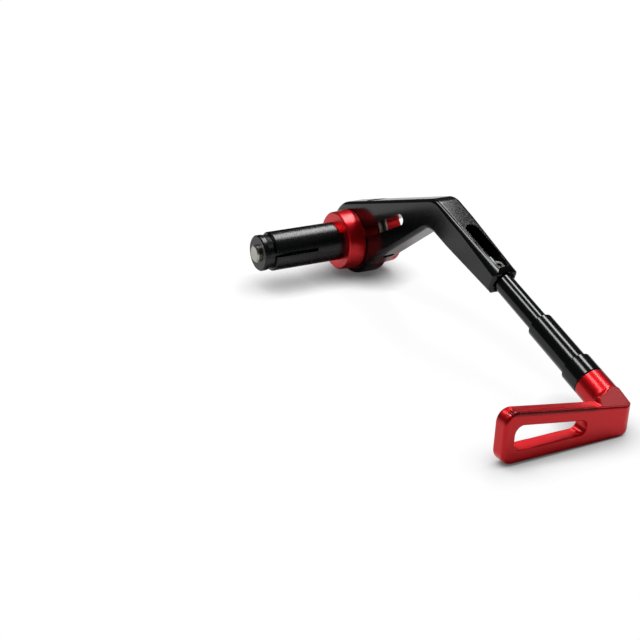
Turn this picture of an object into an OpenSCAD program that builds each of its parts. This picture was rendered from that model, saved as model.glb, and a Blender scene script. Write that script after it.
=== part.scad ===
// Brake lever guard for the end of a handlebar.
// X runs along the handlebar towards its middle, Y runs forward along the arm, Z is up.
// The origin lies on the handlebar's axis, at the face where the handlebar ends.

/* [Handlebar plug] */
// Outer diameter of both ring flanges
ring_d = 28; // [26:0.5:32]
// Length of each ring flange along the handlebar
ring_len = 8.5; // [7.5:0.5:14]
// Depth by which the rim of a ring narrows towards its free face
ring_flare = 0.5; // [0.2:0.1:1.5]
// Edge break at the free face of a ring
ring_edge = 0.6; // [0.3:0.1:1.2]
// Diameter of the spigot that carries the arm
spigot_d = 21.6; // [21:0.2:23]
// Depth of the socket in the inner ring that takes the spigot's end
socket_depth = 2.5; // [1.5:0.5:4]
// Diameter of the recess for the clamp bolt's head
recess_d = 18.5; // [17:0.5:19]
// Depth of the recess for the clamp bolt's head
recess_depth = 14; // [12:0.5:16]
// Outer diameter of the expander sleeve
sleeve_d = 18; // [16.5:0.5:19]
// Distance from the inner ring to the sleeve's free end
sleeve_reach = 35.2; // [30:0.2:50]
// Length of the slots in the expander sleeve
sleeve_slot_len = 21; // [14:1:24]
// Width of the slots in the expander sleeve
sleeve_slot_w = 1.6; // [1:0.2:2.4]
// Number of slots round the expander sleeve
sleeve_slots = 4; // [2:1:6]
// Turn of the slots about the handlebar's axis
sleeve_slot_turn = 6; // [0:1:45]
// Height of the dog teeth between ring and sleeve
dog_h = 1.9; // [1.2:0.1:3]
// Largest diameter of the wedge nut
wedge_d = 16.5; // [15.5:0.5:17.5]
// Distance by which the wedge nut stands out of the sleeve
wedge_out = 5.8; // [4:0.2:8]
// Length of the straight rim of the wedge nut
wedge_rim = 2.3; // [1.5:0.1:3]
// Length of the wedge nut's cone inside the sleeve
wedge_in = 9; // [6:0.5:12]
// Half angle of the wedge nut's cone
wedge_angle = 10; // [6:1:12]

/* [Arm] */
// Thickness of the arm
arm_t = 12; // [11:0.5:16]
// Radius of the arm's clamp end
arm_end_r = 17; // [16:0.5:20]
// Rounding of the arm's long edges
arm_edge = 1.9; // [1:0.1:2.4]
// Distance from the clamp bore to the elbow, forwards
elbow_y = 64; // [60:0.2:80]
// Height of the elbow above the clamp bore
elbow_z = 28.2; // [26:0.2:32]
// Radius of the elbow's outer side
elbow_r = 10.8; // [9:0.2:13]
// Radius of the hollow on the elbow's inner side
elbow_hollow_r = 9; // [6:0.5:12]
// Distance from the hollow's centre to the elbow's centre
elbow_hollow_gap = 13; // [12:0.1:16]
// Distance from the clamp bore to the arm's rod end, forwards
rod_end_y = 108.8; // [106:0.2:130]
// Height of the arm's rod end above the clamp bore
rod_end_z = 17; // [14:0.2:20]
// Height of the arm at its rod end
rod_end_h = 12.6; // [12:0.2:16]
// Radius to which the corners are turned down at the rod end
rod_end_r = 6.9; // [6.6:0.1:8]
// Slope of the clamp slot
kerf_angle = 29.3; // [27:0.1:31]
// Width of the clamp slot
kerf_w = 5; // [3:0.5:6]
// Distance from the clamp bore's axis to the end of the clamp slot
kerf_len = 48; // [42:1:50]
// Distance from the clamp bore's axis to the pinch bolt
pinch_at = 20; // [19:0.5:24]

/* [Rod] */
// Downward slope of the rod
rod_slope = 18.8; // [14:0.2:22]
// Diameter of the sliding part of the rod
rod_d = 8.4; // [7:0.2:8.6]
// Length of the sliding part outside the arm
rod_out = 26; // [24:0.5:40]
// Length of the sliding part inside the arm
rod_in = 12.5; // [11:0.5:13]
// Depth of the arm's bore for the rod
rod_bore_depth = 36; // [34:0.5:40]
// Diameter of the thick part of the rod
rod_thick_d = 11; // [10:0.2:12]
// Length of the thick part of the rod
rod_thick_len = 24.4; // [18:0.2:30]
// Diameter of the lock collar
collar_d = 13.1; // [12.2:0.1:15]
// Length of the lock collar
collar_len = 9.2; // [6:0.2:12]
// Width of the slot for the rod's screw
rod_slot_w = 6; // [5.8:0.1:6.4]
// Length of the slot for the rod's screw
rod_slot_len = 27.6; // [20:0.2:28]
// Distance from the arm's rod end to the slot
rod_slot_gap = 3; // [2.6:0.1:4]

/* [Blade] */
// Distance from the lock collar to the front of the blade, forwards
blade_ahead = 18.7797; // [17:0.1:24]
// Thickness of the blade
blade_t = 6.4; // [5.4:0.2:9]
// Distance from the arm's middle to the blade's free end
blade_tip_x = 53.8; // [48:0.2:70]
// Height of the blade above the clamp bore, at its free end
blade_tip_z = 5.3; // [2:0.1:8]
// Height of the blade above the clamp bore, at the barrel
blade_root_z = -4.6; // [-5:0.1:-4]
// Rise of the blade's lower edge at the free end
blade_lift = 0.8; // [0:0.1:3]
// Rounding of the blade's long edges
blade_edge = 1.2; // [0.6:0.1:1.6]
// Rounding of the corners at the free end
blade_corner = 5; // [3:0.5:6]
// Rounding of the lower corner at the barrel
root_corner = 6.4; // [3:0.2:6.6]
// Rounding of the upright corner between the barrel and the blade's front
bend_r = 5; // [2:0.2:5.6]
// Radius of the hollow between the barrel's top and the blade's top
scoop_r = 9; // [7:0.5:14]
// Width of the blade's frame round the window
frame_w = 5.2; // [4:0.1:6]
// Width of the blade's frame at the free end
frame_end = 4.8; // [4:0.1:12]
// Distance from the arm's middle to the near end of the window
window_x = 16; // [12:0.5:22]

/* [Bolts] */
// Thread diameter of the clamp bolt
clamp_bolt_d = 8; // [8:0.5:8]
// Thread diameter of the pinch bolt
pinch_bolt_d = 5; // [5:0.5:6]
// Thread diameter of the rod's screw
rod_screw_d = 3; // [3:0.5:3.5]
// Thread diameter of the stud between rod and blade
stud_d = 6; // [5:0.5:6.5]
// Depth to which the stud is screwed in at each end
stud_grip = 7; // [6:0.5:8]

/* [Hidden] */
$fn = 96;
// Overrun of cuts past the face that they open
over = 0.2;
// Play between the arm and the flanges beside it
side_play = 0.1;
// Radial play of turning and sliding pieces
fit_play = 0.05;
// Radial play of a bolt in its hole
bolt_play = 0.2;
// Width of the space between neighbouring dog teeth
dog_play = 0.15;
// Height of a clamp bolt's head as a share of its thread
head_h_share = 1;
// Diameter of a cap screw's head as a share of its thread
head_d_share = 1.65;
// Key width of a cap screw's socket as a share of its thread
key_share = 0.78;
// Depth of a cap screw's socket as a share of its head
key_depth_share = 0.55;
// Chamfer of a screw's end as a share of its thread
screw_end_share = 0.08;
washer_t = 1.6;
washer_d = 16;
screw_out = 1.8;
pinch_sink = 1;
pinch_end_sink = 0.5;
pinch_recess_play = 0.35;
rod_screw_head_d = 5.6;
rod_screw_head_h = 1.2;
rod_screw_reach = 3.2;
// Depth of the seat in the rod for the screw's head
rod_seat_depth = 0.8;
rod_seat_play = 0.1;
// Length over which the arm's corners are turned down towards the rod end
rod_end_taper = 40;
rod_end_back_r = 9.4;
// Wider mouth of the arm's bore for the rod
rod_mouth_d = 10;
rod_mouth_depth = 2;
turned_edge = 0.5;
end_corner_r = 3.4;
// Depth by which the hollow's end lies under the blade's top
scoop_sink = 0.05;
// Distance by which the blade's end stands out beside the barrel
blade_side = 0.3;
edge_steps = 3;
window_corner = 3.4;

rod_dir_y = cos(rod_slope);
rod_dir_z = -sin(rod_slope);
face_x = arm_t/2 + side_play;
ring_face_x = face_x + ring_len;
sleeve_end_x = ring_face_x + sleeve_reach;
wedge_end_x = sleeve_end_x + wedge_out;
recess_floor_x = -ring_face_x + recess_depth;
clamp_bolt_end_x = wedge_end_x + screw_out;
floor_z = -arm_end_r;
thick_at = rod_out + rod_thick_len;
barrel_at = thick_at + collar_len;
barrel_d = collar_d;
reach = rod_end_y + barrel_at*rod_dir_y + blade_ahead;
rod_screw_at = -rod_slot_gap - rod_slot_w/2;
rod_seat_z = rod_d/2 - rod_seat_depth;
blade_end_x = -barrel_d/2 - blade_side;
blade_slope = (blade_tip_z - blade_root_z)/(blade_tip_x - blade_end_x);

// Lean of the line from the elbow's centre down to the hollow's centre
elbow_tilt = -4;
hollow_y = elbow_y - elbow_hollow_gap*sin(elbow_tilt);
hollow_z = elbow_z - elbow_hollow_gap*cos(elbow_tilt);

// Shapes shared by several pieces

// Turn at a corner from one direction to the next, to the left at a round and to the right in a hollow
function turn(a, b, r) = r > 0 ? (b - a + 720) % 360 : -((a - b + 720) % 360);

// Outward direction of the straight edge that leads from one rounded corner to the next
function edge_normal(p, q) =
    let (d = [q[0] - p[0], q[1] - p[1]])
    atan2(d[1], d[0]) - 90 + asin((p[2] - q[2])/norm(d));

// Outline round a list of corners [u, v, radius]; a hollow corner has a negative radius
function belt(corners, inset = 0, steps = 8) =
    let (n = len(corners))
    [for (i = [0:n - 1])
        let (c = corners[i],
             a = edge_normal(corners[(i + n - 1) % n], c),
             b = edge_normal(c, corners[(i + 1) % n]),
             r = c[2] - inset)
        for (k = [0:steps])
            let (w = a + turn(a, b, c[2])*k/steps)
            [c[0] + r*cos(w), c[1] + r*sin(w)]];

// Solid between two flat faces with rounded long edges, along Z
module rounded_plate(corners, t, edge, steps = 8) {
    span = 2*max([for (c = corners) norm([c[0], c[1]]) + abs(c[2])]);
    angles = [for (i = [0:edge_steps]) 90*i/edge_steps];
    layers = concat(
        [[-t/2 - over, edge]],
        [for (i = [edge_steps:-1:0]) [-t/2 + edge*(1 - sin(angles[i])), edge*(1 - cos(angles[i]))]],
        [for (i = [0:edge_steps]) [t/2 - edge*(1 - sin(angles[i])), edge*(1 - cos(angles[i]))]],
        [[t/2 + over, edge]]);
    rings = [for (l = layers) [for (p = belt(corners, l[1], steps)) [p[0], p[1], l[0]]]];
    n = len(rings[0]);
    m = len(rings);
    intersection() {
        polyhedron(
            points = [for (r = rings) for (p = r) p],
            faces = concat(
                [[for (i = [0:n - 1]) i]],
                [for (j = [0:m - 2]) for (i = [0:n - 1])
                    [j*n + i, (j + 1)*n + i, (j + 1)*n + (i + 1) % n, j*n + (i + 1) % n]],
                [[for (i = [n - 1:-1:0]) (m - 1)*n + i]]));
        translate([-span, -span, -t/2]) cube([2*span, 2*span, t]);
    }
}

// Moves a piece drawn from the arm's middle to the handlebar's end as origin
module in_place() {
    translate([-ring_face_x, 0, 0]) children();
}

// Places a drawing of the YZ plane, with its thickness along X
module side_on() {
    rotate([90, 0, 90]) children();
}

// Places a shape drawn along Z so that it runs along X
module along_x(x = 0) {
    translate([x, 0, 0]) rotate([0, 90, 0]) children();
}

// Places a shape drawn along Z on the rod's axis, measured from the arm's rod end
module along_rod(s = 0) {
    translate([0, rod_end_y + s*rod_dir_y, rod_end_z + s*rod_dir_z])
        rotate([-90 - rod_slope, 0, 0]) children();
}

// Cylinder with a chamfer at each end
module turned(d, l, edge = turned_edge) {
    rotate_extrude()
        polygon([[0, 0], [d/2 - edge, 0], [d/2, edge], [d/2, l - edge], [d/2 - edge, l], [0, l]]);
}

// Cap screw along Z, with the underside of its head at zero and its thread below
module cap_screw(d, l, head_d, head_h) {
    key = key_share*d;
    end = screw_end_share*d;
    difference() {
        union() {
            turned(head_d, head_h, end);
            translate([0, 0, -l])
                rotate_extrude()
                    polygon([[0, 0], [d/2 - end, 0], [d/2, end], [d/2, l], [d/2, l + head_h/2], [0, l + head_h/2]]);
        }
        translate([0, 0, head_h*(1 - key_depth_share)])
            cylinder(d = key/cos(30), h = head_h, $fn = 6);
    }
}

// Handlebar plug

module outer_hub() {
    color("firebrick") in_place()
        difference() {
            along_x(-ring_face_x)
                rotate_extrude()
                    polygon([
                        [0, 0],
                        [ring_d/2 - ring_flare - ring_edge, 0],
                        [ring_d/2 - ring_flare, ring_edge],
                        [ring_d/2, ring_len - ring_edge],
                        [ring_d/2 - ring_edge/2, ring_len],
                        [spigot_d/2, ring_len],
                        [spigot_d/2, ring_len + 2*face_x + socket_depth],
                        [0, ring_len + 2*face_x + socket_depth]
                    ]);
            along_x(-ring_face_x - over) cylinder(d = recess_d, h = recess_depth + over);
            along_x(-ring_face_x)
                cylinder(d = clamp_bolt_d + 2*bolt_play, h = 2*ring_face_x);
        }
}

module bar_ring() {
    color("firebrick") in_place()
        difference() {
            union() {
                along_x(face_x)
                    rotate_extrude()
                        polygon([
                            [0, 0],
                            [ring_d/2 - ring_edge/2, 0],
                            [ring_d/2, ring_edge],
                            [ring_d/2 - ring_flare, ring_len - ring_edge],
                            [ring_d/2 - ring_flare - ring_edge, ring_len],
                            [0, ring_len]
                        ]);
                intersection() {
                    along_x(ring_face_x - ring_edge) cylinder(d = sleeve_d, h = dog_h + ring_edge);
                    dog_sectors(0);
                }
            }
            along_x(face_x - over) cylinder(d = spigot_d + 2*fit_play, h = socket_depth + over);
            along_x(face_x)
                cylinder(d = clamp_bolt_d + 2*bolt_play, h = 2*ring_len);
        }
}

// Two opposite wedges of a quarter turn each, for the dog teeth
module dog_sectors(start) {
    for (a = [start, start + 180])
        rotate([a + 45, 0, 0])
            translate([0, dog_play/2, dog_play/2])
                cube([2*ring_face_x, sleeve_d, sleeve_d]);
}

module expander_sleeve() {
    mouth_d = wedge_d - 2*(wedge_out - wedge_rim)*tan(wedge_angle);
    throat_d = mouth_d - 2*wedge_in*tan(wedge_angle);
    thin_len = sleeve_slot_len + sleeve_slot_w;
    color("#1c1f22") in_place()
        difference() {
            union() {
                along_x(ring_face_x + dog_h) turned(sleeve_d, sleeve_reach - dog_h);
                intersection() {
                    along_x(ring_face_x) cylinder(d = sleeve_d, h = dog_h + turned_edge);
                    dog_sectors(90);
                }
            }
            along_x(ring_face_x - over)
                cylinder(d = clamp_bolt_d + 2*bolt_play, h = sleeve_reach + 2*over);
            along_x(sleeve_end_x - thin_len)
                cylinder(d = throat_d + 2*bolt_play, h = thin_len + over);
            along_x(sleeve_end_x - wedge_in)
                cylinder(d1 = throat_d + 2*fit_play, d2 = mouth_d + 2*fit_play, h = wedge_in);
            for (i = [0:sleeve_slots - 1])
                rotate([sleeve_slot_turn + i*360/sleeve_slots, 0, 0])
                    translate([sleeve_end_x - sleeve_slot_len, -sleeve_slot_w/2, 0])
                        cube([sleeve_slot_len + over, sleeve_slot_w, sleeve_d]);
        }
}

module wedge_nut() {
    cone_len = wedge_in + wedge_out - wedge_rim;
    throat_d = wedge_d - 2*cone_len*tan(wedge_angle);
    color("#1c1f22") in_place()
        difference() {
            along_x(wedge_end_x - wedge_rim - cone_len)
                rotate_extrude()
                    polygon([
                        [0, 0],
                        [throat_d/2, 0],
                        [wedge_d/2, cone_len],
                        [wedge_d/2, cone_len + wedge_rim - turned_edge],
                        [wedge_d/2 - turned_edge, cone_len + wedge_rim],
                        [0, cone_len + wedge_rim]
                    ]);
            along_x(sleeve_end_x - 2*wedge_in)
                cylinder(d = clamp_bolt_d + 2*fit_play, h = 2*wedge_in + wedge_out + over);
        }
}

module clamp_bolt() {
    seat_x = recess_floor_x - washer_t;
    color("silver") in_place()
        translate([seat_x, 0, 0]) rotate([0, -90, 0])
            cap_screw(clamp_bolt_d, clamp_bolt_end_x - seat_x, head_d_share*clamp_bolt_d,
                head_h_share*clamp_bolt_d);
}

module bolt_washer() {
    color("silver") in_place()
        along_x(recess_floor_x - washer_t)
            difference() {
                cylinder(d = washer_d, h = washer_t);
                translate([0, 0, -over])
                    cylinder(d = clamp_bolt_d + 2*bolt_play, h = washer_t + 2*over);
            }
}

// Arm

// Corners of the arm's outline, in the YZ plane
function arm_corners() =
    let (end_in = end_corner_r,
         side = rod_end_h/2 - end_corner_r,
         ty = rod_end_y - end_in*rod_dir_y,
         tz = rod_end_z - end_in*rod_dir_z)
    [
        [0, 0, arm_end_r],
        [hollow_y, hollow_z, -elbow_hollow_r],
        [ty + side*rod_dir_z, tz - side*rod_dir_y, end_corner_r],
        [ty - side*rod_dir_z, tz + side*rod_dir_y, end_corner_r],
        [elbow_y, elbow_z, elbow_r]
    ];

// Slopes of the upper and lower edges of the tapering clamp end
upper_slope = (edge_normal(arm_corners()[4], arm_corners()[0]) + 630) % 360;
lower_slope = (edge_normal(arm_corners()[0], arm_corners()[1]) + 450) % 360;
// Heights of the arm's edges over and under the clamp slot's middle, at the pinch bolt
pinch_top_z = edge_height(kerf_angle - upper_slope);
pinch_low_z = edge_height(lower_slope - kerf_angle);
pinch_seat_z = pinch_top_z - pinch_sink - head_h_share*pinch_bolt_d;

// Height of an edge that slopes by an angle against the clamp slot
function edge_height(angle) = arm_end_r/cos(angle) - pinch_at*tan(angle);

// Places a shape drawn along Z on the pinch bolt's axis, upwards from the clamp slot
module across_kerf() {
    rotate([kerf_angle, 0, 0]) translate([0, pinch_at, 0]) children();
}

module arm() {
    head_d = head_d_share*pinch_bolt_d;
    color("#1c1f22") in_place()
        difference() {
            side_on() rounded_plate(arm_corners(), arm_t, arm_edge, 12);
            along_x(-arm_t/2 - over) cylinder(d = spigot_d + 2*fit_play, h = arm_t + 2*over);
            kerf_cut();
            across_kerf() {
                translate([0, 0, pinch_seat_z])
                    cylinder(d = head_d + 2*pinch_recess_play, h = arm_end_r);
                cylinder(d = pinch_bolt_d + 2*bolt_play, h = arm_end_r);
                translate([0, 0, -arm_end_r])
                    cylinder(d = pinch_bolt_d + 2*fit_play, h = arm_end_r);
            }
            along_rod(-rod_bore_depth)
                cylinder(d = rod_d + 2*fit_play, h = rod_bore_depth + over);
            along_rod(-rod_mouth_depth) cylinder(d = rod_mouth_d, h = rod_mouth_depth + over);
            rod_slot_cut();
            rod_end_turning();
        }
}

// Clamp slot from the bore to its round end
module kerf_cut() {
    rotate([kerf_angle, 0, 0])
        translate([arm_t/2 + over, 0, 0])
            rotate([0, -90, 0])
                linear_extrude(arm_t + 2*over) {
                    translate([-kerf_w/2, 0]) square([kerf_w, kerf_len - kerf_w/2]);
                    translate([0, kerf_len - kerf_w/2]) circle(d = kerf_w);
                }
}

// Long hole over the rod's bore, for the screw's head
module rod_slot_cut() {
    travel = rod_slot_len - rod_slot_w;
    along_rod(rod_screw_at - travel)
        rotate([90, 0, 0])
            linear_extrude(elbow_r) {
                circle(d = rod_slot_w);
                translate([0, travel]) circle(d = rod_slot_w);
                translate([-rod_slot_w/2, 0]) square([rod_slot_w, travel]);
            }
}

// Space outside the cone to which the arm is turned down at the rod end
module rod_end_turning() {
    along_rod(-rod_end_taper)
        rotate_extrude()
            polygon([
                [rod_end_back_r, 0],
                [2*rod_end_back_r, 0],
                [2*rod_end_back_r, rod_end_taper + over],
                [rod_end_r, rod_end_taper + over]
            ]);
}

module pinch_bolt() {
    color("silver") in_place()
        across_kerf()
            translate([0, 0, pinch_seat_z])
                cap_screw(pinch_bolt_d, pinch_seat_z + pinch_low_z - pinch_end_sink,
                    head_d_share*pinch_bolt_d, head_h_share*pinch_bolt_d);
}

// Rod

module slide_rod() {
    color("#1c1f22") in_place()
        difference() {
            union() {
                along_rod(-rod_in) turned(rod_d, rod_in + rod_out + turned_edge);
                along_rod(rod_out) turned(rod_thick_d, rod_thick_len);
            }
            along_rod(thick_at - stud_grip)
                cylinder(d = stud_d + 2*fit_play, h = stud_grip + over);
            along_rod(rod_screw_at)
                rotate([90, 0, 0]) {
                    cylinder(d = rod_screw_d + 2*fit_play, h = rod_d);
                    translate([0, 0, rod_seat_z]) cylinder(d = rod_screw_head_d + 2*rod_seat_play, h = rod_d);
                }
        }
}

module rod_screw() {
    color("silver") in_place()
        along_rod(rod_screw_at)
            rotate([90, 0, 0])
                translate([0, 0, rod_seat_z])
                    cap_screw(rod_screw_d, rod_screw_reach, rod_screw_head_d, rod_screw_head_h);
}

module lock_collar() {
    color("#1c1f22") in_place()
        difference() {
            along_rod(thick_at) turned(collar_d, collar_len);
            along_rod(thick_at - over)
                cylinder(d = stud_d + 2*fit_play, h = collar_len + 2*over);
        }
}

module tip_stud() {
    color("silver") in_place()
        along_rod(thick_at - stud_grip)
            turned(stud_d, 2*stud_grip + collar_len, turned_edge);
}

// Blade

// Corners of the blade's outline, seen from behind along Y
function blade_corners() =
    let (low = root_corner,
         high = blade_edge + over,
         end = blade_corner)
    [
        [blade_end_x + low, floor_z + low, low],
        [blade_tip_x - end, floor_z + blade_lift + end, end],
        [blade_tip_x - end, blade_tip_z - end - blade_slope*end, end],
        [blade_end_x + high, blade_root_z - high, high]
    ];

// Height of the blade's top at a distance from the arm's middle
function blade_top(x) = blade_root_z + blade_slope*(x - blade_end_x);

// Height of the blade's lower edge there
function blade_low(x) = floor_z + blade_lift*(x - blade_end_x)/(blade_tip_x - blade_end_x);

// Corners of the window, set in from the outline by the frame's width
function window_corners() =
    let (far = blade_tip_x - frame_end,
         r = window_corner,
         near_low = blade_low(window_x) + frame_w,
         near_r = (blade_top(window_x) - frame_w - near_low)/2)
    [
        [window_x + near_r, near_low + near_r, near_r],
        [far - r, blade_low(far) + frame_w + r, r],
        [far - r, blade_top(far) - frame_w - r - blade_slope*r, r],
        [window_x + near_r, blade_top(window_x) - frame_w - near_r + blade_slope*near_r, near_r]
    ];

module tip() {
    color("firebrick") in_place()
        difference() {
            union() {
                translate([0, reach - blade_t/2, 0])
                    rotate([90, 0, 0])
                        rounded_plate(blade_corners(), blade_t, blade_edge);
                barrel();
            }
            translate([0, reach + over, 0])
                rotate([90, 0, 0])
                    linear_extrude(blade_t + 2*over) polygon(belt(window_corners()));
            bend_cut();
            along_rod(barrel_at - over)
                cylinder(d = stud_d + 2*fit_play, h = stud_grip + over);
        }
}

// Round barrel with a hollow where its top runs down into the blade's top
module barrel() {
    difference() {
        along_rod(barrel_at) cylinder(d = barrel_d, h = 2*barrel_d);
        translate([-barrel_d, reach - blade_edge, -2*barrel_d])
            cube([2*barrel_d, 2*barrel_d, 4*barrel_d]);
        translate([blade_end_x, reach - blade_edge, blade_root_z - scoop_sink])
            rotate([0, -atan(blade_slope), 0]) {
                translate([-barrel_d, 0, scoop_r])
                    rotate([0, 90, 0]) cylinder(r = scoop_r, h = 3*barrel_d);
            }
    }
}

// Space outside the rounded upright corner at the blade's front
module bend_cut() {
    translate([blade_end_x, reach, -2*arm_end_r])
        linear_extrude(4*arm_end_r)
            polygon(concat(
                [for (k = [0:edge_steps*2])
                    let (w = 180 - 90*k/(edge_steps*2))
                    [bend_r + bend_r*cos(w), -bend_r + bend_r*sin(w)]],
                [[bend_r, over], [-over, over], [-over, -bend_r]]));
}

outer_hub();
bar_ring();
expander_sleeve();
wedge_nut();
clamp_bolt();
bolt_washer();
arm();
pinch_bolt();
slide_rod();
rod_screw();
lock_collar();
tip_stud();
tip();
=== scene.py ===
"""Looks of the brake lever guard: machined arm and tip, threads, finishes, floor, light and camera."""

import math

import bmesh
import bpy
from mathutils import Matrix, Vector


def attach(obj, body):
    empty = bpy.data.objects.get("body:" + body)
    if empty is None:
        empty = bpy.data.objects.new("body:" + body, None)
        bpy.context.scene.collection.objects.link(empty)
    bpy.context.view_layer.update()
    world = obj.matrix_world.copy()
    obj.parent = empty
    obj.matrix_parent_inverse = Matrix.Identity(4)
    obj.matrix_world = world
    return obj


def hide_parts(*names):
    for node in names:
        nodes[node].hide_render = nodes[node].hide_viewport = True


MM = 0.001

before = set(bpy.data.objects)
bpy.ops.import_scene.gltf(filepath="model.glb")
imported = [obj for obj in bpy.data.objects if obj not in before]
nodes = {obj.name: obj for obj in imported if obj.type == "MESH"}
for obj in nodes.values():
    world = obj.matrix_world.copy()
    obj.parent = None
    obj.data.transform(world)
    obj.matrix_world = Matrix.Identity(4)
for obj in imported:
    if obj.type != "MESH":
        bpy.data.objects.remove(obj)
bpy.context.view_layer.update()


# Sizes shared with the solids, in millimetres

# Middle of the arm's rod end, and the rod's axis that falls away from it
ARM_X = -14.6
SLOPE = math.radians(18.8)
ROD_END = Vector((ARM_X, 108.8, 17))
ROD_AXIS = Vector((0, math.cos(SLOPE), -math.sin(SLOPE)))
ROD_UP = Vector((0, math.sin(SLOPE), math.cos(SLOPE)))

# Arm
ARM_T = 12
ARM_EDGE = 1.9
ARM_BORE_R = 10.85
ROD_END_H = 12.6
END_CORNER_R = 3.4
ROD_BORE_R, ROD_BORE_DEPTH = 4.25, 36
SLOT_R, SLOT_GAP, SLOT_TRAVEL = 3, 3, 21.6
KERF = math.radians(29.3)
KERF_R, KERF_LEN = 2.5, 45.5
PINCH_AT = 20
PINCH_SEAT, PINCH_LOW = 7.55, -12.2

# Tip: the barrel starts BARREL_AT beyond the arm's rod end, the blade's front is at REACH
BARREL_AT = 59.6
BARREL_R = 6.55
REACH = 184.0
BLADE_T = 6.4
BLADE_EDGE = 1.2
BLADE_END = ARM_X - 6.85
BLADE_TIP = ARM_X + 53.8
TIP_Z, ROOT_Z, LOW_Z, LIFT = 5.3, -4.6, -17.0, 0.8
TOP_SLOPE = (TIP_Z - ROOT_Z) / (BLADE_TIP - BLADE_END)
WINDOW_RIM = 5.2

# Places of the arm's outline, drawn as (y, z), and of the blade's, drawn as (x, z)
YZ = Matrix(((0, 0, 1, ARM_X), (1, 0, 0, 0), (0, 1, 0, 0), (0, 0, 0, 1)))
XZ = Matrix(((1, 0, 0, 0), (0, 0, 1, REACH - BLADE_T / 2), (0, 1, 0, 0), (0, 0, 0, 1)))


# Node materials

class Tree:
    """Short calls for building one node material."""

    def __init__(self, name):
        self.mat = bpy.data.materials.new(name)
        self.mat.use_nodes = True
        self.nt = self.mat.node_tree
        self.nt.nodes.clear()
        self.out = self.add("ShaderNodeOutputMaterial")
        self.shader = self.add("ShaderNodeBsdfPrincipled")
        self.link(self.shader, "BSDF", self.out, "Surface")
        self.coords = self.add("ShaderNodeTexCoord")

    def add(self, kind, **props):
        n = self.nt.nodes.new(kind)
        for key, value in props.items():
            setattr(n, key, value)
        return n

    def link(self, a, a_out, b, b_in):
        self.nt.links.new(a.outputs[a_out], b.inputs[b_in])

    def noise(self, scale, detail):
        n = self.add("ShaderNodeTexNoise")
        n.inputs["Scale"].default_value = scale
        n.inputs["Detail"].default_value = detail
        n.inputs["Roughness"].default_value = 0.55
        self.link(self.coords, "Object", n, "Vector")
        return n

    def ramp(self, source, output, low, high, a, b):
        r = self.add("ShaderNodeMapRange")
        r.inputs["From Min"].default_value = low
        r.inputs["From Max"].default_value = high
        r.inputs["To Min"].default_value = a
        r.inputs["To Max"].default_value = b
        self.link(source, output, r, "Value")
        return r

    def mix(self, fac, fac_out, a, b):
        m = self.add("ShaderNodeMix", data_type="RGBA")
        self.link(fac, fac_out, m, "Factor")
        m.inputs["A"].default_value = (*a, 1)
        m.inputs["B"].default_value = (*b, 1)
        return m

    def bump(self, source, output, strength, distance, normal=None):
        b = self.add("ShaderNodeBump")
        b.inputs["Strength"].default_value = strength
        b.inputs["Distance"].default_value = distance
        self.link(source, output, b, "Height")
        if normal is not None:
            self.link(normal, "Normal", b, "Normal")
        return b


def srgb(r, g, b):
    def lin(c):
        c = c / 255
        return c / 12.92 if c <= 0.04045 else ((c + 0.055) / 1.055) ** 2.4
    return (lin(r), lin(g), lin(b))


def red_anodised():
    """Satin red anodised aluminium: blasted grain, faint changes of tone and a thin clear layer."""
    t = Tree("red_satin")
    cloud = t.noise(45, 4)
    speck = t.noise(1500, 2)
    fine = t.noise(4200, 2)
    t.link(t.mix(cloud, "Fac", srgb(222, 8, 22), srgb(234, 12, 30)), "Result", t.shader, "Base Color")
    t.link(t.ramp(speck, "Fac", 0.3, 0.7, 0.38, 0.46), "Result", t.shader, "Roughness")
    soft = t.bump(fine, "Fac", 0.12, 0.00002)
    t.link(t.bump(cloud, "Fac", 0.06, 0.0001, soft), "Normal", t.shader, "Normal")
    t.shader.inputs["Metallic"].default_value = 0.9
    t.shader.inputs["Coat Weight"].default_value = 0.55
    t.shader.inputs["Coat Roughness"].default_value = 0.2
    return t.mat


def black_anodised(name, rough, grain):
    """Black anodised aluminium: nearly black ground under a clear gloss, with a trace of turning marks."""
    t = Tree(name)
    cloud = t.noise(60, 4)
    speck = t.noise(1300, 2)
    fine = t.noise(3600, 2)
    t.link(t.mix(cloud, "Fac", srgb(4, 6, 8), srgb(10, 12, 14)), "Result", t.shader, "Base Color")
    t.link(t.ramp(speck, "Fac", 0.3, 0.7, rough - 0.03, rough + 0.05), "Result", t.shader, "Roughness")
    t.link(t.bump(fine, "Fac", grain, 0.00002), "Normal", t.shader, "Normal")
    t.shader.inputs["Specular IOR Level"].default_value = 0.5
    return t.mat


def steel(name="zinc_steel", low=0.2, shade=1.0):
    """Zinc-plated steel with turning marks and slight tarnish; a shade below 1 darkens the whole colour as
    painted shade.
    """
    t = Tree(name)
    cloud = t.noise(160, 3)
    fine = t.noise(2600, 2)
    light = [c * shade for c in (205, 203, 198)]
    dark = [c * shade for c in (168, 162, 152)]
    t.link(t.mix(cloud, "Fac", srgb(*light), srgb(*dark)), "Result", t.shader, "Base Color")
    t.link(t.ramp(fine, "Fac", 0.3, 0.7, low, low + 0.14), "Result", t.shader, "Roughness")
    t.link(t.bump(fine, "Fac", 0.2, 0.00003), "Normal", t.shader, "Normal")
    t.shader.inputs["Metallic"].default_value = 1.0
    return t.mat


TICK_PITCH = 0.95


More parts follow.
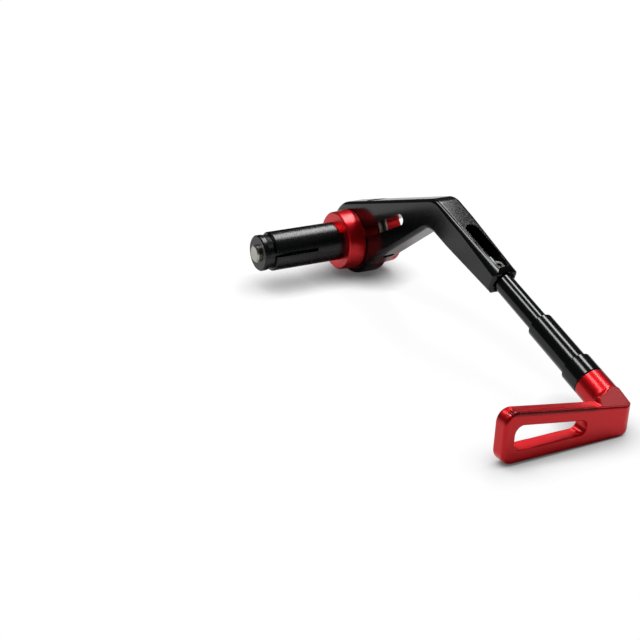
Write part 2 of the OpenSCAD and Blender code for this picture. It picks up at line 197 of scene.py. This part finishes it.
def add_ticks(mat):
    """Fine cutter ticks along the blade's front top edge, as relief, with painted shade darkening one half of
    each tick.
    """
    nt = mat.node_tree
    shader = next(n for n in nt.nodes if n.type == "BSDF_PRINCIPLED")
    coords = next(n for n in nt.nodes if n.type == "TEX_COORD")

    def calc(op, a, b=None, c=None):
        n = nt.nodes.new("ShaderNodeMath")
        n.operation = op
        for i, v in enumerate((a, b, c)):
            if v is None:
                continue
            if isinstance(v, (int, float)):
                n.inputs[i].default_value = v
            else:
                nt.links.new(v, n.inputs[i])
        return n.outputs["Value"]

    def step(v, low, high):
        n = nt.nodes.new("ShaderNodeMapRange")
        n.interpolation_type = "SMOOTHSTEP"
        n.inputs["From Min"].default_value = low
        n.inputs["From Max"].default_value = high
        nt.links.new(v, n.inputs["Value"])
        return n.outputs["Result"]

    axes = nt.nodes.new("ShaderNodeSeparateXYZ")
    nt.links.new(coords.outputs["Object"], axes.inputs["Vector"])
    x, y, z = (axes.outputs[k] for k in "XYZ")
    top = calc("MULTIPLY_ADD", x, TOP_SLOPE, (ROOT_Z - TOP_SLOPE * BLADE_END) * MM)
    near_front = step(y, (REACH - 3.2) * MM, (REACH - 2.4) * MM)
    near_top = step(calc("SUBTRACT", z, top), -1.8 * MM, -1.0 * MM)
    beyond = step(x, -6 * MM, 0)
    band = calc("MULTIPLY", calc("MULTIPLY", near_front, near_top), beyond)
    wave = calc("SINE", calc("MULTIPLY", x, 2 * math.pi / (TICK_PITCH * MM)))
    height = calc("MULTIPLY", wave, band)
    # Painted shade: one half of each tick is tinted dark red
    tick_shade = calc("MULTIPLY", step(wave, -0.6, 0.6), band)
    tick_shade_tint = nt.nodes.new("ShaderNodeMix")
    tick_shade_tint.data_type = "RGBA"
    nt.links.new(tick_shade, tick_shade_tint.inputs["Factor"])
    nt.links.new(shader.inputs["Base Color"].links[0].from_socket, tick_shade_tint.inputs["A"])
    tick_shade_tint.inputs["B"].default_value = (*srgb(96, 2, 8), 1)
    nt.links.new(tick_shade_tint.outputs["Result"], shader.inputs["Base Color"])
    bump = nt.nodes.new("ShaderNodeBump")
    bump.inputs["Strength"].default_value = 0.8
    bump.inputs["Distance"].default_value = 0.0003
    nt.links.new(height, bump.inputs["Height"])
    nt.links.new(shader.inputs["Normal"].links[0].from_socket, bump.inputs["Normal"])
    nt.links.new(bump.outputs["Normal"], shader.inputs["Normal"])
    return mat


RED = red_anodised()
RED_TIP = add_ticks(red_anodised())
BLACK = black_anodised("black_gloss", 0.15, 0.006)
BLACK_SLEEVE = black_anodised("black_speckled", 0.27, 0.025)
STEEL = steel()
# A darker, rougher copy of the steel: painted shade on the rod screw, which sits down in its slot
SLOT_SHADED_STEEL = steel("steel_painted_shade", 0.34, 0.55)

FINISH = {
    "outer_hub": RED, "bar_ring": RED, "tip": RED_TIP,
    "expander_sleeve": BLACK_SLEEVE, "wedge_nut": BLACK_SLEEVE,
    "arm": BLACK, "slide_rod": BLACK, "lock_collar": BLACK,
    "clamp_bolt": STEEL, "bolt_washer": STEEL, "pinch_bolt": STEEL, "tip_stud": STEEL,
    "rod_screw": SLOT_SHADED_STEEL,
}
for name, mat in FINISH.items():
    obj = nodes[name]
    if not obj.material_slots:
        obj.data.materials.append(mat)
    for slot in obj.material_slots:
        slot.link = "OBJECT"
        slot.material = mat


# Mesh helpers

def smooth_by_angle(obj, degrees):
    for p in obj.data.polygons:
        p.use_smooth = True
    obj.data.set_sharp_from_angle(angle=math.radians(degrees))


def even_normals(obj):
    """Lets the large flat faces keep flat shading beside their rounded edges."""
    m = obj.modifiers.new("even_normals", "WEIGHTED_NORMAL")
    m.keep_sharp = True


def mesh_object(name, verts, faces):
    mesh = bpy.data.meshes.new(name)
    mesh.from_pydata([tuple(Vector(v) * MM) for v in verts], [], faces)
    obj = bpy.data.objects.new(name, mesh)
    bpy.context.scene.collection.objects.link(obj)
    bm = bmesh.new()
    bm.from_mesh(mesh)
    bmesh.ops.remove_doubles(bm, verts=bm.verts, dist=1e-7)
    bmesh.ops.recalc_face_normals(bm, faces=bm.faces)
    bm.to_mesh(mesh)
    bm.free()
    return obj


def bake(obj):
    """Applies the object's modifiers to its mesh."""
    graph = bpy.context.evaluated_depsgraph_get()
    graph.update()
    mesh = bpy.data.meshes.new_from_object(obj.evaluated_get(graph))
    obj.modifiers.clear()
    old = obj.data
    obj.data = mesh
    bpy.data.meshes.remove(old)


def cut(obj, tools, operation="DIFFERENCE"):
    """Cuts each tool away from an object, or joins or intersects them, and deletes the tools."""
    for tool in tools:
        m = obj.modifiers.new("cut", "BOOLEAN")
        m.operation = operation
        m.solver = "EXACT"
        m.object = tool
        bake(obj)
        bpy.data.objects.remove(tool)


def frame_of(origin, axis, side=(1, 0, 0)):
    """Matrix that puts Z along an axis and X near a side, for shapes drawn in millimetres."""
    z = Vector(axis).normalized()
    y = z.cross(Vector(side)).normalized()
    x = y.cross(z)
    return Matrix.Translation(origin) @ Matrix((x, y, z)).transposed().to_4x4()


def revolve(name, profile, place, steps=64):
    """Closed solid of revolution about Z from a profile of (radius, height), in millimetres."""
    verts, faces = [], []
    n = len(profile)
    for k in range(steps):
        w = 2 * math.pi * k / steps
        verts += [place @ Vector((r * math.cos(w), r * math.sin(w), h)) for r, h in profile]
    for k in range(steps):
        a, b = k * n, (k + 1) % steps * n
        faces += [(a + i, a + i + 1, b + i + 1, b + i) for i in range(n - 1)]
    faces.append([k * n for k in range(steps)])
    faces.append([k * n + n - 1 for k in range(steps)])
    return mesh_object(name, verts, faces)


def prism(name, outline, low, high, place):
    """Solid over a flat outline of (x, y), from one height to another along Z, in millimetres."""
    n = len(outline)
    verts = [place @ Vector((x, y, h)) for h in (low, high) for x, y in outline]
    faces = [list(range(n)), list(range(n, 2 * n))]
    faces += [(i, (i + 1) % n, n + (i + 1) % n, n + i) for i in range(n)]
    return mesh_object(name, verts, faces)


# Rounded plates, with the same outline rules as the solids: each corner is (u, v, radius), and a
# negative radius makes a hollow corner

def turn(a, b, r):
    return (b - a + 720) % 360 if r > 0 else -((a - b + 720) % 360)


def edge_normal(p, q):
    du, dv = q[0] - p[0], q[1] - p[1]
    lean = math.asin((p[2] - q[2]) / math.hypot(du, dv))
    return math.degrees(math.atan2(dv, du) + lean) - 90


def belt(corners, inset=0.0, steps=24):
    """Outline that runs round the corner circles and along the lines that touch two of them."""
    out = []
    for i, c in enumerate(corners):
        a = edge_normal(corners[i - 1], c)
        b = edge_normal(c, corners[(i + 1) % len(corners)])
        for k in range(steps + 1):
            w = math.radians(a + turn(a, b, c[2]) * k / steps)
            out.append((c[0] + (c[2] - inset) * math.cos(w), c[1] + (c[2] - inset) * math.sin(w)))
    return out


def rounded_plate(name, corners, thick, edge, place, rounds=6):
    """Plate over an outline, with rounded edges on both faces."""
    layers = []
    for i in range(rounds + 1):
        w = math.radians(90 * i / rounds)
        layers.append((-thick / 2 + edge * (1 - math.cos(w)), edge * (1 - math.sin(w))))
    layers += [(-h, inset) for h, inset in reversed(layers)]
    rings = [belt(corners, inset) for h, inset in layers]
    n = len(rings[0])
    verts = [place @ Vector((x, y, h)) for (h, inset), ring in zip(layers, rings) for x, y in ring]
    faces = [list(range(n)), list(range((len(rings) - 1) * n, len(rings) * n))]
    for j in range(len(rings) - 1):
        a, b = j * n, (j + 1) * n
        faces += [(a + i, a + (i + 1) % n, b + (i + 1) % n, b + i) for i in range(n)]
    return mesh_object(name, verts, faces)


def finish_piece(obj, mat, body, slot, *replaced, angle=28):
    """Gives a piece its material and shading, hangs it under its body, and hides the nodes it replaces."""
    obj.data.materials.clear()
    obj.data.materials.append(mat)
    smooth_by_angle(obj, angle)
    even_normals(obj)
    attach(obj, body)
    if replaced:
        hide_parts(*replaced)
    return obj


def along_rod(s):
    return frame_of(ROD_END + ROD_AXIS * s, ROD_AXIS)


# Arm: clamp end with a hollow under it, elbow, and a rod end turned down to nearly round

KERF_DIR = Vector((0, math.cos(KERF), math.sin(KERF)))
KERF_UP = Vector((0, -math.sin(KERF), math.cos(KERF)))
PINCH = Vector((ARM_X, 0, 0)) + KERF_DIR * PINCH_AT


def half_turn(r, start, steps=24):
    """Points of half a circle of radius r."""
    angles = [math.radians(start + 180 * k / steps) for k in range(steps + 1)]
    return [(r * math.cos(w), r * math.sin(w)) for w in angles]


ry, rz = ROD_AXIS.y, ROD_AXIS.z
ty, tz = ROD_END.y - END_CORNER_R * ry, ROD_END.z - END_CORNER_R * rz
side = ROD_END_H / 2 - END_CORNER_R
arm_corners = [
    (-0.9, 0, 17.0), (17.5, -12.3, -5.0), (62.5, 16.05, -9.0),
    (ty + side * rz, tz - side * ry, END_CORNER_R), (ty - side * rz, tz + side * ry, END_CORNER_R),
    (64.0, 28.2, 10.8),
]
arm = rounded_plate("arm_machined", arm_corners, ARM_T, ARM_EDGE, YZ)
kerf_line = [(y, -KERF_LEN - x) for x, y in half_turn(KERF_R, -90)] + [(KERF_R, 0), (-KERF_R, 0)]
slot_line = half_turn(SLOT_R, 0)
slot_line += [(x, -SLOT_TRAVEL - y) for x, y in reversed(slot_line)]
kerf_place = frame_of(Vector((ARM_X, 0, 0)), (1, 0, 0), KERF_UP)
slot_place = frame_of(ROD_END - ROD_AXIS * (SLOT_GAP + SLOT_R), ROD_UP, (1, 0, 0))
pinch_place = frame_of(PINCH, KERF_UP)
# Every cutter stands out of the arm by some millimetres
cut(arm, [
    revolve("bore", [(ARM_BORE_R, -8), (ARM_BORE_R, 8)], frame_of((ARM_X, 0, 0), (1, 0, 0), (0, 1, 0)), 96),
    prism("kerf", kerf_line, -8, 8, kerf_place),
    revolve("head_seat", [(4.475, PINCH_SEAT), (4.475, 20)], pinch_place, 48),
    revolve("bolt_hole", [(2.7, 0), (2.7, 20)], pinch_place, 48),
    revolve("thread_hole", [(2.75, -20), (2.75, 0)], pinch_place, 48),
    revolve("rod_bore", [(ROD_BORE_R, -ROD_BORE_DEPTH), (ROD_BORE_R, 1)], along_rod(0), 64),
    revolve("rod_mouth", [(5.1, -2), (5.1, 1)], along_rod(0), 64),
    prism("screw_slot", slot_line, 0, 12, slot_place),
])
# The cone that rounds the rod end starts under the elbow; all behind it is kept whole
turned = revolve("turned", [(8.8, -48), (6.75, 0.5)], along_rod(0), 96)
cut(turned, [prism("rear", [(-40, -30), (71, -30), (71, 60), (-40, 60)], -9, 9, YZ)], "UNION")
cut(arm, [turned], "INTERSECT")
finish_piece(arm, BLACK, "arm", "black_anodised", "arm")


# Pinch bolt and the end of the clamp bolt, with their threads

def thread(low, high, root, crest, pitch):
    """Ridges of a screw thread as a profile of (radius, height)."""
    out, h = [], low
    while h + pitch <= high:
        out += [(root, h), (crest, h + pitch * 0.45), (crest, h + pitch * 0.55)]
        h += pitch
    return out + [(root, h)]


def hexagon(across):
    """Corners of a hexagon, by its width across the flats."""
    r = across / math.sqrt(3)
    return [(r * math.cos(math.radians(60 * k)), r * math.sin(math.radians(60 * k))) for k in range(6)]


shank_end = PINCH_SEAT - 0.4
head = [(2.5, shank_end), (2.5, PINCH_SEAT), (4.1, PINCH_SEAT), (4.12, PINCH_SEAT + 4.6),
        (3.75, PINCH_SEAT + 5)]
pinch = revolve("pinch_bolt_threaded", thread(PINCH_LOW, shank_end, 2.1, 2.5, 0.8) + head, pinch_place, 48)
cut(pinch, [prism("socket", hexagon(3.9), PINCH_SEAT + 2.3, PINCH_SEAT + 6, pinch_place)])
finish_piece(pinch, STEEL, "arm", "zinc_steel", "pinch_bolt")

bolt_end = revolve("clamp_bolt_thread", thread(40.2, 42.2, 3.6, 4.04, 0.5),
                   frame_of((0, 0, 0), (1, 0, 0), (0, 1, 0)), 64)
finish_piece(bolt_end, STEEL, "plug", "zinc_steel")


# Tip: blade with its window, and the barrel that flares into the blade's back

def clip(obj, planes):
    """Cuts away what lies beyond each plane, given by a point and an outward direction."""
    bm = bmesh.new()
    bm.from_mesh(obj.data)
    for point, out in planes:
        geom = bm.verts[:] + bm.edges[:] + bm.faces[:]
        r = bmesh.ops.bisect_plane(bm, geom=geom, plane_co=Vector(point) * MM, plane_no=Vector(out),
                                   clear_outer=True)
        rim = [e for e in r["geom_cut"] if isinstance(e, bmesh.types.BMEdge)]
        if rim:
            bmesh.ops.contextual_create(bm, geom=rim)
    bmesh.ops.recalc_face_normals(bm, faces=bm.faces)
    bm.to_mesh(obj.data)
    bm.free()


def blade_top(x):
    return ROOT_Z + TOP_SLOPE * (x - BLADE_END)


def blade_low(x):
    return LOW_Z + LIFT * (x - BLADE_END) / (BLADE_TIP - BLADE_END)


CORNER_R = 6.4
blade_corners = [
    (BLADE_END + CORNER_R, LOW_Z + CORNER_R, CORNER_R), (BLADE_TIP - 5, LOW_Z + LIFT + 5, 5.0),
    (BLADE_TIP - 5, TIP_Z - 5 - TOP_SLOPE * 5, 5.0), (BLADE_END + 1.4, ROOT_Z - 1.4, 1.4),
]
near, far = ARM_X + 16, BLADE_TIP - 4.8
near_low = blade_low(near) + WINDOW_RIM
near_r = (blade_top(near) - WINDOW_RIM - near_low) / 2
far_r = 3.4
window = belt([
    (near + near_r, near_low + near_r, near_r),
    (far - far_r, blade_low(far) + WINDOW_RIM + far_r, far_r),
    (far - far_r, blade_top(far) - WINDOW_RIM - far_r - TOP_SLOPE * far_r, far_r),
    (near + near_r, blade_top(near) - WINDOW_RIM - near_r + TOP_SLOPE * near_r, near_r),
], steps=12)
tip = rounded_plate("tip_machined", blade_corners, BLADE_T, BLADE_EDGE, XZ)
cut(tip, [prism("window", window, -8, 8, XZ)])

# The barrel is plain for FLARE_AT, and then turns outwards with a radius of FLARE_R
FLARE_AT, FLARE_R = 8.6, 4.2
profile = [(BARREL_R, 0), (BARREL_R, FLARE_AT)]
for k in range(1, 13):
    w = math.radians(90 * k / 12)
    profile.append((BARREL_R + FLARE_R * (1 - math.cos(w)), FLARE_AT + FLARE_R * math.sin(w)))
profile.append((BARREL_R + FLARE_R, 30))
barrel = revolve("barrel", profile, along_rod(BARREL_AT), 96)
# The slanted flat rises from the blade's top edge, and a second flat follows the barrel's side
rise = math.radians(36)
front = REACH - BLADE_EDGE
flat_dir = (-TOP_SLOPE * math.cos(rise), math.sin(rise), math.cos(rise))
side_dir = Vector((-0.81, 0.19, 0.56)).normalized()
planes = [
    ((BLADE_END, front, blade_top(BLADE_END)), flat_dir),
    (ROD_END + ROD_AXIS * BARREL_AT + side_dir * BARREL_R, side_dir),
    ((ARM_X - BARREL_R, 0, 0), (-1, 0, 0)),
    ((0, 0, LOW_Z + 0.2), (0, 0, -1)),
    ((0, front, 0), (0, 1, 0)),
]
for k in range(1, 8):
    w = math.radians(180 + 90 * k / 8)
    low_corner = (BLADE_END + CORNER_R + CORNER_R * math.cos(w), 0, LOW_Z + CORNER_R + CORNER_R * math.sin(w))
    planes.append((low_corner, (math.cos(w), 0, math.sin(w))))
clip(barrel, planes)
bm = bmesh.new()
bm.from_mesh(tip.data)
bm.from_mesh(barrel.data)
bm.to_mesh(tip.data)
bm.free()
bpy.data.objects.remove(barrel)
# Upright corner between the blade's front and its end, rounded in steps
planes = []
for k in range(1, 8):
    w = math.radians(90 + 90 * k / 8)
    planes.append(((BLADE_END + 5 + 5 * math.cos(w), REACH - 5 + 5 * math.sin(w), 0),
                   (math.cos(w), math.sin(w), 0)))
clip(tip, planes)
# One skin over blade and barrel, smoothed where they meet
m = tip.modifiers.new("one_skin", "REMESH")
m.mode = "VOXEL"
m.voxel_size = 0.00026
m = tip.modifiers.new("soft_edges", "SMOOTH")
m.factor = 0.5
m.iterations = 4
bake(tip)
finish_piece(tip, RED_TIP, "rod", "red_anodised", "tip", angle=60)

for name, obj in nodes.items():
    smooth_by_angle(obj, 24)
    even_normals(obj)


# Floor, light and camera

bpy.ops.mesh.primitive_plane_add(size=6, location=(0, 0, LOW_Z * MM))
floor = bpy.context.object
floor.name = "floor"
ft = Tree("pale_floor")
paper = ft.noise(60, 3)
ft.link(ft.mix(paper, "Fac", srgb(248, 248, 248), srgb(251, 251, 251)), "Result", ft.shader, "Base Color")
ft.shader.inputs["Roughness"].default_value = 0.7
ft.shader.inputs["Specular IOR Level"].default_value = 0.1
# The camera sees the floor mostly as plain white, with a painted contact shadow close to the object
glow = ft.add("ShaderNodeEmission")
glow.inputs["Color"].default_value = (1, 1, 1, 1)
path = ft.add("ShaderNodeLightPath")
share = ft.add("ShaderNodeMath", operation="MULTIPLY")
share.inputs[1].default_value = 0.86
ft.link(path, "Is Camera Ray", share, 0)
painted_contact_shadow = ft.add("ShaderNodeAmbientOcclusion", samples=8)
painted_contact_shadow.inputs["Distance"].default_value = 0.016
ft.link(ft.ramp(painted_contact_shadow, "AO", 0.25, 0.95, 0.1, 1.07), "Result", glow, "Strength")
both = ft.add("ShaderNodeMixShader")
ft.link(share, "Value", both, "Fac")
ft.nt.links.new(ft.shader.outputs["BSDF"], both.inputs[1])
ft.nt.links.new(glow.outputs["Emission"], both.inputs[2])
ft.link(both, "Shader", ft.out, "Surface")
floor.data.materials.append(ft.mat)

# Dim surroundings for the object, white ones for the camera
world = bpy.data.worlds.new("studio")
bpy.context.scene.world = world
world.use_nodes = True
wt = world.node_tree
wt.nodes.clear()
w_out = wt.nodes.new("ShaderNodeOutputWorld")
w_path = wt.nodes.new("ShaderNodeLightPath")
w_level = wt.nodes.new("ShaderNodeMapRange")
w_level.inputs["To Min"].default_value = 0.05
w_level.inputs["To Max"].default_value = 1.0
w_bg = wt.nodes.new("ShaderNodeBackground")
w_bg.inputs["Color"].default_value = (1, 1, 1, 1)
wt.links.new(w_path.outputs["Is Camera Ray"], w_level.inputs["Value"])
wt.links.new(w_level.outputs["Result"], w_bg.inputs["Strength"])
wt.links.new(w_bg.outputs["Background"], w_out.inputs["Surface"])


def strip_light(name, start, end, width, power):
    """Long soft box over the object, facing down, between two points."""
    a, b = Vector(start), Vector(end)
    data = bpy.data.lights.new(name, "AREA")
    data.shape = "RECTANGLE"
    data.size, data.size_y = (b - a).length, width
    data.energy = power
    lamp = bpy.data.objects.new(name, data)
    bpy.context.scene.collection.objects.link(lamp)
    x = (b - a).normalized()
    z = Vector((0, 0, 1))
    z = (z - x * z.dot(x)).normalized()
    lamp.matrix_world = Matrix.Translation((a + b) / 2) @ Matrix((x, z.cross(x), z)).transposed().to_4x4()
    return lamp


# Two long soft boxes, found from the highlights in the photo, and a weak one for the tip's flat
strip_light("strip_left", (-0.40, 0.02, 1.0), (-0.72, -0.78, 1.0), 0.22, 7.2)
strip_light("strip_right", (0.31, 0.02, 1.0), (0.34, -0.75, 1.0), 0.24, 6.2)
strip_light("left_fill", (-0.80, 0.42, 0.60), (-0.80, 0.16, 0.60), 0.26, 0.45)

# Camera of the photo, 640 pixels wide, with the measured centre of the picture
cam_data = bpy.data.cameras.new("photo_camera")
cam_data.sensor_width = 36
cam_data.sensor_fit = "HORIZONTAL"
cam_data.lens = 75.233
cam_data.shift_x = (320 - 318.39) / 640
cam_data.shift_y = (320.03 - 320) / 640
cam = bpy.data.objects.new("photo_camera", cam_data)
bpy.context.scene.collection.objects.link(cam)
right = Vector((-0.86799, 0.49488, 0.04102)).normalized()
forward = Vector((-0.4676, -0.78673, -0.40299)).normalized()
up = right.cross(forward)
cam.matrix_world = (Matrix.Translation((0.30632, 0.50313, 0.21839))
                    @ Matrix((right, up, -forward)).transposed().to_4x4())
bpy.context.scene.camera = cam

bpy.context.scene.view_settings.view_transform = "Standard"
